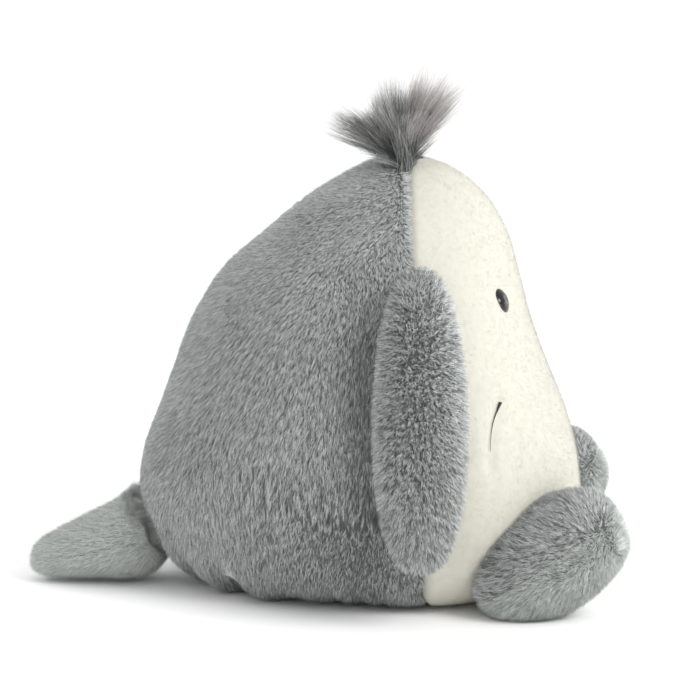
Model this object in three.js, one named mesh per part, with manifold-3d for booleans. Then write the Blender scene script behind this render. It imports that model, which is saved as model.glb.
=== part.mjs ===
// A seated plush sea animal: a rounded drop-shaped body with a grey furry back and a white face,
// two flippers, two feet, a short tail and a tuft of long hair on the crown.
// Millimetres. +X is where it faces, +Y is its left side, +Z is up. The origin is on the floor,
// in the flat underside that it sits on.
import * as THREE from 'three';
import { mergeVertices } from 'three/addons/utils/BufferGeometryUtils.js';
import Module from 'manifold-3d';

const wasm = await Module();
wasm.setup();

// ---- Driving dimensions -------------------------------------------------------------------
const FUR_PANEL = 5; // backing cloth and pile of a body panel
const LIMB_PANEL = 4; // the thinner panels of the flippers, feet and tail
const FIT = 0.6; // space between a panel and the filling behind it
const SEAM_SPLIT = 1.1; // half the space that a seam's thread lies in
const THREAD_R = 0.65;
const POD_SPLIT = 0.7; // half the space between the two panels of a limb
const SEAM_DEPTH = 4.2; // how far under the fur a seam's thread lies
const FACE_SQUARENESS = 2.25; // 2 would be an ellipse; more is a flatter face
const ROUND_STEPS = 32; // steps round the body, a multiple of 4

// The body, from the floor to the crown: how far it reaches back, forward and to each side.
const BODY = [
  { z: 0, back: -66, front: 92, side: 62 },
  { z: 3, back: -84, front: 106, side: 76 },
  { z: 9, back: -95, front: 115, side: 87 },
  { z: 19, back: -105, front: 121, side: 95 },
  { z: 33, back: -112, front: 126, side: 102 },
  { z: 52, back: -118, front: 129, side: 109 },
  { z: 75, back: -115.5, front: 127, side: 112 },
  { z: 99, back: -107, front: 120, side: 110 },
  { z: 124, back: -97.5, front: 110, side: 104 },
  { z: 150, back: -87, front: 101, side: 95 },
  { z: 175, back: -72, front: 94, side: 82 },
  { z: 196, back: -50, front: 88, side: 66 },
  { z: 213, back: -30, front: 79, side: 50 },
  { z: 226, back: -10, front: 67, side: 35 },
  { z: 235, back: 7, front: 54, side: 22 },
  { z: 240, back: 20, front: 41, side: 11 },
];
const TOP = BODY.length - 1;
const SEAM_X_FLOOR = 40; // the face seam stands almost upright
const SEAM_X_CROWN = 30.5;

const EYE = { r: 7.5, dome: 4.4, postR: 1.7, post: 11, z: 168.5, y: 54.5, toSide: 14, up: 24 };
const WASHER = { r: 8, bore: 2.1, thick: 1.4, depth: 7.6 };
const POCKET = 5; // how deep the eye sits in the face's fur

const MOUTH = { rThick: 1.2, rThin: 0.5, steps: 10, sides: 6 };
const MOUTH_TOP = { z: 118, x: 81 };
const MOUTH_MIDDLE = { z: 108, x: 76.5 };
const MOUTH_END = { z: 95, x: 75 };

const ARM = {
  top: 186, bottom: 36, x: 37, width: 52, thickTop: 18, thickMiddle: 28, rest: 1.4, blunt: 0.5, bluntThick: 0.9,
};
const ARM_KNOT_R = 1.5;
const FOOT = {
  x: 107.4, y: 86, z: 32, length: 91, width: 62, thick: 62, pitch: 35, splay: 8, blunt: 0.7,
};
const FOOT_HINGE = { x: 105.6, y: 83.3, z: 64, axisX: 0.647, axisY: -0.763, lift: 20 };
const FOOT_GAP = 1.5;
const FLOOR_GAP = 0.3; // the feet are pressed flat this far off the floor
const TAIL = { nose: -100, tip: -179, noseZ: 30.8, tipZ: 11.4, blunt: 0.6 };
const TAIL_HEIGHTS = [66, 40, 29];
const TAIL_WIDTHS = [64, 52, 40];
const TAIL_KNOT_R = 0.9;
const TAIL_HINGE = { x: -118, z: 40, lift: 20, wag: 15 }; // where the tail bends, and how far
const TAIL_GAP = 1;
const POUCH = { x: 10, z: 6.6, rx: 52, ry: 46, height: 34 };
const HAIR_ROOT_Z = 241;

// ---- Helpers ------------------------------------------------------------------------------
const v3 = (x, y, z) => new THREE.Vector3(x, y, z);
const degrees = THREE.MathUtils.degToRad;
const mix = THREE.MathUtils.lerp;

// A Catmull-Rom curve through a list of numbers, at a place counted in list steps.
function smooth(values, place) {
  const i = Math.min(Math.max(Math.floor(place), 0), values.length - 2);
  const t = place - i;
  const at = (k) => values[Math.min(Math.max(k, 0), values.length - 1)];
  const [a, b, c, d] = [at(i - 1), at(i), at(i + 1), at(i + 2)];
  return b + 0.5 * t * (c - a + t * (2 * a - 5 * b + 4 * c - d + t * (3 * (b - c) + d - a)));
}

const range = (count) => Array.from({ length: count + 1 }, (_, i) => i / count);

// One closed geometry from four-cornered faces. Faces that close up to a line or point vanish.
function solid(quads) {
  const corners = quads.flatMap(([a, b, c, d]) => [a, b, c, a, c, d]);
  const loose = new THREE.BufferGeometry().setFromPoints(corners);
  const merged = mergeVertices(loose, 1e-3);
  const index = Array.from(merged.index.array);
  const kept = [];
  for (let i = 0; i < index.length; i += 3) {
    const [a, b, c] = index.slice(i, i + 3);
    if (a !== b && b !== c && c !== a) kept.push(a, b, c);
  }
  merged.setIndex(kept);
  return merged;
}

// The faces of a grid of points. Rows run along the piece and columns run round it.
function gridFaces(grid, inside = false) {
  const faces = [];
  for (let i = 0; i + 1 < grid.length; i += 1) {
    for (let j = 0; j + 1 < grid[i].length; j += 1) {
      const face = [grid[i][j], grid[i][j + 1], grid[i + 1][j + 1], grid[i + 1][j]];
      faces.push(inside ? face.reverse() : face);
    }
  }
  return faces;
}

// A shell between an outer and an inner grid, with a wall along each of its four edges.
function shell(outer, inner) {
  const column = (grid, j) => grid.map((row) => row.at(j));
  return solid([
    ...gridFaces(outer),
    ...gridFaces(inner, true),
    ...gridFaces([inner[0], outer[0]]),
    ...gridFaces([outer.at(-1), inner.at(-1)]),
    ...gridFaces([column(outer, 0), column(inner, 0)]),
    ...gridFaces([column(inner, -1), column(outer, -1)]),
  ]);
}

// A filled form from rings of points, closed with a fan at each end.
function filled(rings) {
  const closed = rings.map((ring) => [...ring, ring[0]]);
  const centre = (ring) => {
    const sum = ring.reduce((total, p) => total.clone().add(p), v3(0, 0, 0));
    return sum.divideScalar(ring.length);
  };
  const first = closed[0].map(() => centre(rings[0]));
  const last = closed[0].map(() => centre(rings.at(-1)));
  return solid(gridFaces([first, ...closed, last]));
}

function toManifold(geometry) {
  const bare = geometry.clone();
  bare.deleteAttribute('normal');
  bare.deleteAttribute('uv');
  const merged = mergeVertices(bare, 1e-3);
  return new wasm.Manifold(new wasm.Mesh({
    numProp: 3,
    vertProperties: merged.attributes.position.array,
    triVerts: new Uint32Array(merged.index.array),
  }));
}

function toGeometry(manifold) {
  const mesh = manifold.getMesh();
  const geometry = new THREE.BufferGeometry();
  geometry.setAttribute('position', new THREE.BufferAttribute(mesh.vertProperties, 3));
  geometry.setIndex(Array.from(mesh.triVerts));
  return geometry;
}

const cut = (geometry, ...tools) => toGeometry(
  tools.reduce((left, tool) => left.subtract(toManifold(tool)), toManifold(geometry)),
);

const object = new THREE.Group();
function add(name, geometry, material) {
  geometry.computeVertexNormals();
  const mesh = new THREE.Mesh(geometry, material);
  mesh.name = name;
  object.add(mesh);
}

// ---- Materials ----------------------------------------------------------------------------
const cloth = (color, roughness = 0.95) => new THREE.MeshStandardMaterial({
  color, roughness, metalness: 0,
});
const GREY_FUR = cloth(0x868a89);
const LIGHT_FUR = cloth(0xa4a9a5);
const WHITE_FUR = cloth(0xf4f2e5);
const HAIR = cloth(0x8d918d);
const FIBRE = cloth(0xf2f1ec);
const POUCH_CLOTH = cloth(0xdedbd2, 0.85);
const GREY_THREAD = cloth(0x7a7e7d, 0.8);
const WHITE_THREAD = cloth(0xefece0, 0.8);
const DARK_THREAD = cloth(0x2b2a2b, 0.7);
const BLACK_GLOSS = cloth(0x0b0b0d, 0.08);
const WHITE_PLASTIC = cloth(0xe9e9e6, 0.5);

// ---- The body's surface -------------------------------------------------------------------
const station = (key, place) => smooth(BODY.map((row) => row[key]), place);
const seamX = (z) => mix(SEAM_X_FLOOR, SEAM_X_CROWN, z / BODY[TOP].z);

function bodyRaw(place, angle) {
  const z = station('z', place);
  const middle = seamX(z);
  const power = Math.cos(angle) > 0 ? 2 / FACE_SQUARENESS : 1;
  const reach = Math.cos(angle) > 0 ? station('front', place) - middle : middle - station('back', place);
  const bulge = (share) => Math.sign(share) * Math.abs(share) ** power;
  return v3(
    middle + reach * bulge(Math.cos(angle)),
    station('side', place) * bulge(Math.sin(angle)),
    z,
  );
}

function bodyNormal(place, angle) {
  const step = 0.02;
  const low = Math.max(place - step, 0);
  const high = Math.min(place + step, TOP);
  const up = bodyRaw(high, angle).sub(bodyRaw(low, angle));
  const round = bodyRaw(place, angle + step).sub(bodyRaw(place, angle - step));
  return round.cross(up).normalize();
}

// A point on the body, this far under its surface. The angle goes round +Z from the face.
function bodyPoint(place, angle, depth = 0) {
  const normal = bodyNormal(place, angle);
  if (place <= 0) normal.set(0, 0, -1);
  if (place >= TOP) normal.set(0, 0, 1);
  return bodyRaw(place, angle).addScaledVector(normal, -depth);
}

// The station at which the body has this height.
function placeAt(z) {
  let low = 0;
  let high = TOP;
  for (let i = 0; i < 40; i += 1) {
    const middle = (low + high) / 2;
    if (station('z', middle) < z) low = middle;
    else high = middle;
  }
  return low;
}

// The angle at which the body, at this station, is this far forward, on the right side.
function angleAtX(place, x) {
  let low = -Math.PI / 2;
  let high = 0;
  for (let i = 0; i < 40; i += 1) {
    const middle = (low + high) / 2;
    if (bodyRaw(place, middle).x < x) low = middle;
    else high = middle;
  }
  return low;
}

const PLACES = BODY.map((_, i) => i);
const turn = (steps) => (steps * 2 * Math.PI) / ROUND_STEPS;
const QUARTER = ROUND_STEPS / 4;
const bodyRing = (place, depth) => range(ROUND_STEPS).slice(0, -1)
  .map((share) => bodyPoint(place, share * 2 * Math.PI, depth));

// A panel from one seam to the next. Its side edges stand back from the seams.
function bodyPanel(from, to, firstShift, lastShift) {
  const steps = Array.from({ length: to - from + 1 }, (_, i) => from + i);
  const grid = (depth) => PLACES.map((place) => steps.map((step) => {
    const point = bodyPoint(place, turn(step), depth);
    if (step === from) point.add(firstShift);
    if (step === to) point.add(lastShift);
    return point;
  }));
  return shell(grid(0), grid(FUR_PANEL));
}

// ---- Eyes ---------------------------------------------------------------------------------
const sides = [
  { name: 'right', sign: -1 },
  { name: 'left', sign: 1 },
];

function eyeFrame(sign) {
  const place = placeAt(EYE.z);
  let angle = 0;
  while (bodyRaw(place, angle).y < EYE.y) angle += degrees(0.5);
  const surface = bodyRaw(place, sign * angle);
  const yaw = degrees(EYE.toSide) * sign;
  const pitch = degrees(EYE.up);
  const facing = v3(Math.cos(yaw) * Math.cos(pitch), Math.sin(yaw) * Math.cos(pitch), Math.sin(pitch));
  const seat = surface.addScaledVector(facing, -POCKET);
  return { seat, facing };
}

function turned(profile, frame, segments = 24) {
  const points = profile.map(([r, h]) => new THREE.Vector2(r, h));
  const geometry = new THREE.LatheGeometry(points, segments);
  const toFacing = new THREE.Quaternion().setFromUnitVectors(v3(0, 1, 0), frame.facing);
  geometry.applyQuaternion(toFacing);
  geometry.translate(frame.seat.x, frame.seat.y, frame.seat.z);
  geometry.deleteAttribute('normal');
  geometry.deleteAttribute('uv');
  return solid(trianglesAsQuads(mergeVertices(geometry, 1e-3)));
}

function trianglesAsQuads(geometry) {
  const position = geometry.attributes.position;
  const at = (i) => v3().fromBufferAttribute(position, geometry.index.getX(i));
  const faces = [];
  for (let i = 0; i < geometry.index.count; i += 3) {
    faces.push([at(i), at(i + 1), at(i + 2), at(i + 2)]);
  }
  return faces;
}

const eyeDome = range(6).map((share) => [
  EYE.r * Math.cos((share * Math.PI) / 2),
  1 + EYE.dome * Math.sin((share * Math.PI) / 2),
]);
eyeDome[eyeDome.length - 1][0] = 0;
const EYE_PROFILE = [[0, -EYE.post], [EYE.postR, -EYE.post], [EYE.postR, 0], [EYE.r, 0], ...eyeDome];
const POCKET_PROFILE = [[0, -20], [2.3, -20], [2.3, -0.4], [EYE.r + 0.6, -0.4], [EYE.r + 0.6, 16], [0, 16]];
const WASHER_PROFILE = [
  [WASHER.bore, -WASHER.depth - WASHER.thick], [WASHER.r, -WASHER.depth - WASHER.thick],
  [WASHER.r, -WASHER.depth], [WASHER.bore, -WASHER.depth],
  [WASHER.bore, -WASHER.depth - WASHER.thick],
];
const WASHER_POCKET = [[0, -14], [WASHER.r + 0.8, -14], [WASHER.r + 0.8, 12], [0, 12]];
const WASHER_CLEARANCE = [
  [0, -11], [WASHER.r + 0.4, -11], [WASHER.r + 0.4, -WASHER.depth + 0.4], [0, -WASHER.depth + 0.4],
];

const eyes = sides.map(({ name, sign }) => ({ name, frame: eyeFrame(sign) }));
for (const { name, frame } of eyes) {
  add(`${name}_eye`, turned(EYE_PROFILE, frame), BLACK_GLOSS);
  add(`${name}_eye_washer`, turned(WASHER_PROFILE, frame), WHITE_PLASTIC);
}

// ---- Body panels, filling and seams ---------------------------------------------------------
const back = v3(-SEAM_SPLIT, 0, 0);
const forward = v3(SEAM_SPLIT, 0, 0);
const leftward = v3(0, SEAM_SPLIT, 0);
const rightward = v3(0, -SEAM_SPLIT, 0);
add('back_panel_left', bodyPanel(QUARTER, 2 * QUARTER, back, leftward), GREY_FUR);
add('back_panel_right', bodyPanel(2 * QUARTER, 3 * QUARTER, rightward, back), GREY_FUR);
const facePanel = bodyPanel(-QUARTER, QUARTER, forward, forward);
const eyePockets = eyes.flatMap(({ frame }) => [
  turned(POCKET_PROFILE, frame), turned(WASHER_CLEARANCE, frame),
]);
add('face_panel', cut(facePanel, ...eyePockets), WHITE_FUR);

const shrink = (ring, by) => ring.map((p) => {
  const out = v3(p.x - SEAM_X_FLOOR, p.y, 0);
  return p.clone().addScaledVector(out, -by / out.length());
});
const baseRing = (by, z) => shrink(bodyRing(0, 0), by).map((p) => v3(p.x, p.y, z));
add('base_panel', filled([baseRing(2 * SEAM_SPLIT, 0), baseRing(2 * SEAM_SPLIT, FUR_PANEL)]), GREY_FUR);

const pouchRing = (grow, share) => {
  const height = POUCH.height * share;
  const reach = Math.sqrt(1 - share ** 2.6);
  return range(24).slice(0, -1).map((s) => v3(
    POUCH.x + (POUCH.rx + grow) * Math.max(reach, 0.12) * Math.cos(s * 2 * Math.PI),
    (POUCH.ry + grow) * Math.max(reach, 0.12) * Math.sin(s * 2 * Math.PI),
    POUCH.z + height + (share > 0 ? grow : -grow),
  ));
};
const POUCH_SHARES = [0, 0.3, 0.6, 0.82, 0.95, 1];
add('pellet_pouch', filled(POUCH_SHARES.map((share) => pouchRing(0, share))), POUCH_CLOTH);

const fillingRings = PLACES.map((place) => bodyRing(place, FUR_PANEL + FIT));
const washerPockets = eyes.map(({ frame }) => turned(WASHER_POCKET, frame));
const pouchPocket = filled(POUCH_SHARES.map((share) => pouchRing(FIT, share)));
const pouchDoor = filled([baseRing(30, 2), baseRing(30, POUCH.z)].map(
  (ring) => ring.map((p) => v3(mix(POUCH.x, p.x, 0.5), p.y * 0.5, p.z)),
));
add('body_filling', cut(filled(fillingRings), ...washerPockets, pouchPocket, pouchDoor), FIBRE);

// A thread along a line of points, each with its radius and a direction across it.
function thread(points, radii, sidesRound = 6) {
  const rings = points.map((point, i) => {
    const before = points[Math.max(i - 1, 0)];
    const after = points[Math.min(i + 1, points.length - 1)];
    const along = after.clone().sub(before).normalize();
    const across = v3(0, 0, 1).cross(along).length() > 0.2 ? v3(0, 0, 1) : v3(0, 1, 0);
    const first = across.cross(along).normalize();
    const second = along.clone().cross(first);
    return range(sidesRound).slice(0, -1).map((share) => point.clone()
      .addScaledVector(first, radii[i] * Math.cos(share * 2 * Math.PI))
      .addScaledVector(second, radii[i] * Math.sin(share * 2 * Math.PI)));
  });
  return filled(rings);
}

const seamLine = (angle) => range(22).map((share) => (
  bodyPoint(mix(0.35, TOP - 0.15, share), angle, SEAM_DEPTH)
));
const even = (points) => points.map(() => THREAD_R);
for (const { name, sign } of sides) {
  const line = seamLine((sign * Math.PI) / 2);
  add(`${name}_face_seam_thread`, thread(line, even(line), 4), WHITE_THREAD);
}
const backLine = seamLine(Math.PI);
add('back_seam_thread', thread(backLine, even(backLine), 4), GREY_THREAD);

const loopAt = (by, z, across) => {
  const centreLine = baseRing(by, z);
  return centreLine.map((point, i) => {
    const out = v3(point.x - SEAM_X_FLOOR, point.y, 0).normalize();
    return across.map(([r, h]) => point.clone().addScaledVector(out, r).add(v3(0, 0, h)));
  });
};
const threadSection = range(4).slice(0, -1).map((share) => [
  THREAD_R * Math.cos(share * 2 * Math.PI), THREAD_R * Math.sin(share * 2 * Math.PI),
]);
const baseLoop = loopAt(SEAM_SPLIT, 2.4, threadSection).map((ring) => [...ring, ring[0]]);
add('base_seam_thread', solid(gridFaces([...baseLoop, baseLoop[0]], true)), GREY_THREAD);

// ---- Mouth corners --------------------------------------------------------------------------
for (const { name, sign } of sides) {
  const marks = [MOUTH_TOP, MOUTH_MIDDLE, MOUTH_END];
  const points = range(MOUTH.steps).map((share) => {
    const place = placeAt(smooth(marks.map((m) => m.z), share * 2));
    const angle = angleAtX(place, smooth(marks.map((m) => m.x), share * 2));
    const radius = mix(MOUTH.rThick, MOUTH.rThin, share);
    return bodyPoint(place, angle, -radius - FIT).multiply(v3(1, -sign, 1));
  });
  const radii = range(MOUTH.steps).map((share) => mix(MOUTH.rThick, MOUTH.rThin, share));
  add(`${name}_mouth_stitch`, thread(points, radii, MOUTH.sides), DARK_THREAD);
}

// ---- Limbs: two sewn half shells round a filling --------------------------------------------
// How far a pod has opened, from 0 at its two ends to 1, at this share of its length.
const opened = (share, blunt) => Math.max(4 * share * (1 - share), 0) ** (blunt / 2);

// A pod has a centre line, a direction across it and one out of it, and a blunt round end.
function podPoint(pod, along, round, depth, lift = 0) {
  const share = (1 - Math.cos(Math.PI * along)) / 2;
  const trimmed = depth / pod.length + share * (1 - (2 * depth) / pod.length);
  const frame = pod.frame(trimmed);
  const width = (pod.halfWidth(share) - depth) * opened(share, pod.blunt);
  const thick = (pod.halfThick(share) - depth) * opened(share, pod.bluntThick);
  return frame.centre.clone()
    .addScaledVector(frame.across, width * Math.cos(round))
    .addScaledVector(frame.out, thick * Math.sin(round))
    .addScaledVector(pod.frame(0.5).out, lift);
}

function podShell(pod, half, steps, columns) {
  const lift = half * POD_SPLIT;
  const grid = (depth) => range(steps).map((along) => range(columns).map((share) => (
    podPoint(pod, along, half * share * Math.PI, depth, lift)
  )));
  const outer = grid(0);
  const inner = grid(LIMB_PANEL);
  return half * hand(pod) > 0 ? shell(outer, inner) : shell(mirrorRows(outer), mirrorRows(inner));
}

// Which way round a pod's columns run, seen from outside it: 1 or -1.
function hand(pod) {
  const { across, out, centre } = pod.frame(0.5);
  const along = pod.frame(0.6).centre.clone().sub(centre);
  return Math.sign(out.clone().cross(along).dot(across));
}

const mirrorRows = (grid) => grid.map((row) => [...row].reverse());

function podFilling(pod, steps, columns) {
  const ring = (along) => range(columns).slice(0, -1).map((share) => (
    podPoint(pod, along, share * 2 * Math.PI, LIMB_PANEL + FIT)
  ));
  const rings = range(steps).slice(1, -1).map(ring);
  return filled(hand(pod) > 0 ? rings : mirrorRows(rings));
}

// ---- Flippers -------------------------------------------------------------------------------
function armPod(sign) {
  const angle = (sign * Math.PI) / 2;
  const halfThick = (share) => smooth(
    [ARM.thickTop / 2, ARM.thickMiddle / 2 - 1, ARM.thickMiddle / 2, ARM.thickMiddle / 2, ARM.thickMiddle / 2 - 1],
    share * 4,
  );
  return {
    length: ARM.top - ARM.bottom,
    blunt: ARM.blunt,
    bluntThick: ARM.bluntThick,
    halfWidth: (share) => smooth([0.8, 0.93, 1, 0.99, 0.86], share * 4) * (ARM.width / 2),
    halfThick,
    frame: (share) => {
      const place = placeAt(mix(ARM.top, ARM.bottom, share));
      const out = bodyNormal(place, angle);
      const flat = mix(opened(share, ARM.bluntThick), 1, share ** 2);
      const clear = halfThick(share) * flat + ARM.rest;
      const centre = bodyPoint(place, angle, -clear).setX(ARM.x);
      return { centre, across: v3(1, 0, 0), out: v3(0, out.y, out.z).normalize() };
    },
  };
}

// ---- Feet -----------------------------------------------------------------------------------
function footPod(sign) {
  const pitch = degrees(FOOT.pitch);
  const splay = degrees(FOOT.splay) * sign;
  const heading = v3(Math.cos(splay), Math.sin(splay), 0);
  const toe = heading.clone().multiplyScalar(Math.cos(pitch)).setZ(Math.sin(pitch));
  const across = v3(-Math.sin(splay), Math.cos(splay), 0);
  const out = heading.clone().multiplyScalar(-Math.sin(pitch)).setZ(Math.cos(pitch));
  const middle = v3(FOOT.x, sign * FOOT.y, FOOT.z);
  return {
    length: FOOT.length,
    blunt: FOOT.blunt,
    bluntThick: FOOT.blunt,
    halfWidth: () => FOOT.width / 2,
    halfThick: () => FOOT.thick / 2,
    frame: (share) => ({
      centre: middle.clone().addScaledVector(toe, (share - 0.5) * FOOT.length), across, out,
    }),
  };
}

// ---- Tail -----------------------------------------------------------------------------------
const tailPod = {
  length: TAIL.nose - TAIL.tip,
  blunt: TAIL.blunt,
  bluntThick: TAIL.blunt,
  halfWidth: (share) => smooth(TAIL_WIDTHS, share * 2) / 2,
  halfThick: (share) => smooth(TAIL_HEIGHTS, share * 2) / 2,
  frame: (share) => ({
    centre: v3(mix(TAIL.nose, TAIL.tip, share), 0, mix(TAIL.noseZ, TAIL.tipZ, share)),
    across: v3(0, 1, 0),
    out: v3(0, 0, 1),
  }),
};

const bodySolid = (grow) => filled(PLACES.map((place) => bodyRing(place, -grow)));

// The body as a limb meets it once the limb has turned about its hinge, in the limb's own place.
function bodyAfter(hinge, gap, turnOfLimb) {
  const from = hinge.clone().negate();
  return bodySolid(gap)
    .translate(from.x, from.y, from.z)
    .applyQuaternion(turnOfLimb.clone().invert())
    .translate(hinge.x, hinge.y, hinge.z);
}

const turnBy = (axis, angle) => new THREE.Quaternion().setFromAxisAngle(axis.normalize(), degrees(angle));
const bodyCutter = bodySolid(FOOT_GAP);
const floorCutter = new THREE.BoxGeometry(400, 400, 40).translate(0, 0, FLOOR_GAP - 20);
for (const { name, sign } of sides) {
  const arm = armPod(sign);
  add(`${name}_arm_outer_panel`, podShell(arm, 1, 12, 8), GREY_FUR);
  add(`${name}_arm_inner_panel`, podShell(arm, -1, 12, 8), GREY_FUR);
  add(`${name}_arm_filling`, podFilling(arm, 12, 14), FIBRE);
  const root = armPod(sign).frame(0);
  const knot = new THREE.IcosahedronGeometry(ARM_KNOT_R, 1);
  const hinge = root.centre.clone().add(v3(0, 0, ARM_KNOT_R + 1.2));
  knot.translate(hinge.x, hinge.y, hinge.z);
  add(`${name}_arm_root_stitch`, knot, GREY_THREAD);

  const foot = footPod(sign);
  const footHinge = v3(FOOT_HINGE.x, sign * FOOT_HINGE.y, FOOT_HINGE.z);
  const footAxis = v3(sign * FOOT_HINGE.axisX, FOOT_HINGE.axisY, 0);
  const footCutters = [bodyCutter, floorCutter, ...[0.5, 1].map((share) => (
    bodyAfter(footHinge, FOOT_GAP, turnBy(footAxis, share * FOOT_HINGE.lift))
  ))];
  add(`${name}_foot_upper_panel`, cut(podShell(foot, 1, 10, 8), ...footCutters), GREY_FUR);
  add(`${name}_foot_sole_panel`, cut(podShell(foot, -1, 10, 8), ...footCutters), LIGHT_FUR);
  add(`${name}_foot_filling`, cut(podFilling(foot, 10, 14), ...footCutters), FIBRE);
}

// The tail's root is cut back so that it stays clear of the body wherever the tail is turned.
const hingePoint = v3(TAIL_HINGE.x, 0, TAIL_HINGE.z);
const tailCutters = [0, 0.5, 1].flatMap((lift) => [-1, 0, 1].map((wag) => {
  const lifted = turnBy(v3(0, 1, 0), lift * TAIL_HINGE.lift);
  return bodyAfter(hingePoint, TAIL_GAP, lifted.multiply(turnBy(v3(0, 0, 1), wag * TAIL_HINGE.wag)));
}));
// The knot of the root seam lies where the tail bends, at the end of its thread's hole.
const threadHole = turned(
  [[0, -1.6], [1.6, -1.6], [1.6, 9], [0, 9]], { seat: hingePoint, facing: v3(1, 0, 0) }, 8,
);
tailCutters.push(threadHole);
add('tail_upper_panel', cut(podShell(tailPod, 1, 10, 8), ...tailCutters), LIGHT_FUR);
add('tail_lower_panel', cut(podShell(tailPod, -1, 10, 8), ...tailCutters), LIGHT_FUR);
add('tail_filling', cut(podFilling(tailPod, 10, 14), ...tailCutters), FIBRE);
const tailKnot = new THREE.IcosahedronGeometry(TAIL_KNOT_R, 1);
tailKnot.translate(hingePoint.x, hingePoint.y, hingePoint.z);
add('tail_root_stitch', tailKnot, GREY_THREAD);

// ---- Hair -----------------------------------------------------------------------------------
// The sewn-in strip that the hair grows from, and the fan of hair, which stands in two locks.
const strip = (by, z) => bodyRing(TOP, 0).map((p) => {
  const out = v3(p.x - SEAM_X_CROWN, p.y, 0);
  return v3(p.x, p.y, z).addScaledVector(out, -by / out.length());
});
add('hair_strip', filled([strip(0.8, BODY[TOP].z - FUR_PANEL + 0.5), strip(0.8, BODY[TOP].z)]), GREY_FUR);

function lock(line) {
  const count = 12;
  const rings = range(count).map((share) => {
    const at = (key) => smooth(line.map((mark) => mark[key]), share * (line.length - 1));
    return range(14).slice(0, -1).map((s) => v3(
      at('x') + at('wide') * Math.cos(s * 2 * Math.PI),
      at('deep') * Math.sin(s * 2 * Math.PI),
      at('z') + at('lean') * Math.cos(s * 2 * Math.PI),
    ));
  });
  return toManifold(filled(rings));
}

const backLock = lock([
  { x: 29, z: HAIR_ROOT_Z, wide: 8, deep: 9, lean: 0 },
  { x: 21, z: 252, wide: 12, deep: 15, lean: 6 },
  { x: 9, z: 262, wide: 11, deep: 18, lean: 10 },
  { x: -4, z: 269, wide: 7, deep: 14, lean: 8 },
  { x: -9, z: 271, wide: 2, deep: 5, lean: 2 },
]);
const frontLock = lock([
  { x: 31.5, z: HAIR_ROOT_Z, wide: 9, deep: 10, lean: 0 },
  { x: 35, z: 254, wide: 15, deep: 18, lean: -1 },
  { x: 40, z: 270, wide: 19, deep: 21, lean: -3 },
  { x: 47, z: 285, wide: 12, deep: 14, lean: -4 },
  { x: 50, z: 292, wide: 3, deep: 4, lean: -1 },
]);
add('hair_tuft', toGeometry(backLock.add(frontLock)), HAIR);

export default object;
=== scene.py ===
"""The looks of a seated plush sea animal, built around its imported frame.

Metres. +X is where the toy faces, +Y is its left side and +Z is up. Each soft panel is a skin,
which is the backing cloth, with a pelt of single fibres that stands on it and rides with it.
"""
import math

import bpy
import numpy as np
from mathutils import Matrix, Vector


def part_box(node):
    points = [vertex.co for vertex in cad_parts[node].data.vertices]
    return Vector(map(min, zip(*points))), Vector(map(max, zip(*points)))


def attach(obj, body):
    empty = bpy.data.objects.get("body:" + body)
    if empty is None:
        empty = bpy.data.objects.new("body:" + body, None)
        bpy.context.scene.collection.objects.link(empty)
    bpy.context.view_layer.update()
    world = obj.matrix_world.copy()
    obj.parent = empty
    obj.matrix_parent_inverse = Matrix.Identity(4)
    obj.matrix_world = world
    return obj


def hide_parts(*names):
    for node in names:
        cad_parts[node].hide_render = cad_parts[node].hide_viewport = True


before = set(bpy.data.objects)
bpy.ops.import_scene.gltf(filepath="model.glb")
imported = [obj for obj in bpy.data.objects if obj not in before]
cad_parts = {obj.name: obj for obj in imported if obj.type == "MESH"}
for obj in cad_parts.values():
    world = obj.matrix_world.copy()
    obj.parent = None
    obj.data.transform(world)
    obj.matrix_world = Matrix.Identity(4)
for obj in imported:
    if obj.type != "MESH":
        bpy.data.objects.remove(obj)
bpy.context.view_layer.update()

MM = 0.001

# ---- Driving dimensions ---------------------------------------------------------------------
STATIONS = np.array([0, 3, 9, 19, 33, 52, 75, 99, 124, 150, 175, 196, 213, 226, 235, 240]) * MM
SEAM_X_FLOOR = 40 * MM  # the face seam stands almost upright
SEAM_X_CROWN = 30.5 * MM
FACE_SQUARENESS = 2.25  # 2 would be an ellipse

CLOTH = 1.0 * MM  # thickness of a skin
BACK_PILE = 2.6 * MM  # how high each pile stands, combed
FACE_PILE = 1.0 * MM
LIMB_PILE = 3.4 * MM
SEAM_SINK = 3.4 * MM  # how far under the fur a panel's edges are sewn

ARM = dict(top=186 * MM, bottom=36 * MM, x=37 * MM, width=52 * MM, rest=1.4 * MM)
ARM_HALF_THICK = np.array([9, 13, 14, 14, 13]) * MM
ARM_WIDTH_SHARES = [0.8, 0.93, 1, 0.99, 0.86]
FOOT = dict(x=107.4 * MM, y=86 * MM, z=32 * MM, length=91 * MM, width=62 * MM, thick=62 * MM)
FOOT_PITCH = math.radians(35)
FOOT_SPLAY = math.radians(8)
FOOT_GAP = 1.5 * MM
FLOOR_GAP = 1.2 * MM  # how far off the floor the cloth of feet and tail lies, on its pile
TAIL = dict(nose=-100 * MM, tip=-179 * MM, nose_z=30.8 * MM, tip_z=11.4 * MM)
TAIL_HEIGHTS = np.array([66, 40, 29]) * MM
TAIL_WIDTHS = np.array([64, 52, 40]) * MM
TAIL_GAP = 1.2 * MM  # how far off the body the tail's cloth stays at each of these turns
TAIL_HINGE = np.array([-118, 0, 40]) * MM
TAIL_LIFTS = np.radians([0, 10, 20])
TAIL_WAGS = np.radians([-15, -7.5, 0, 7.5, 15])
FLOOR = 0.3 * MM  # no fibre reaches lower

TARGET_HEIGHT = 130.5 * MM  # what the camera looks at, on the Z axis
CAMERA_ELEVATION = math.radians(10)
CAMERA_AWAY = 2.2
CAMERA_LENS = 203.6

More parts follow.
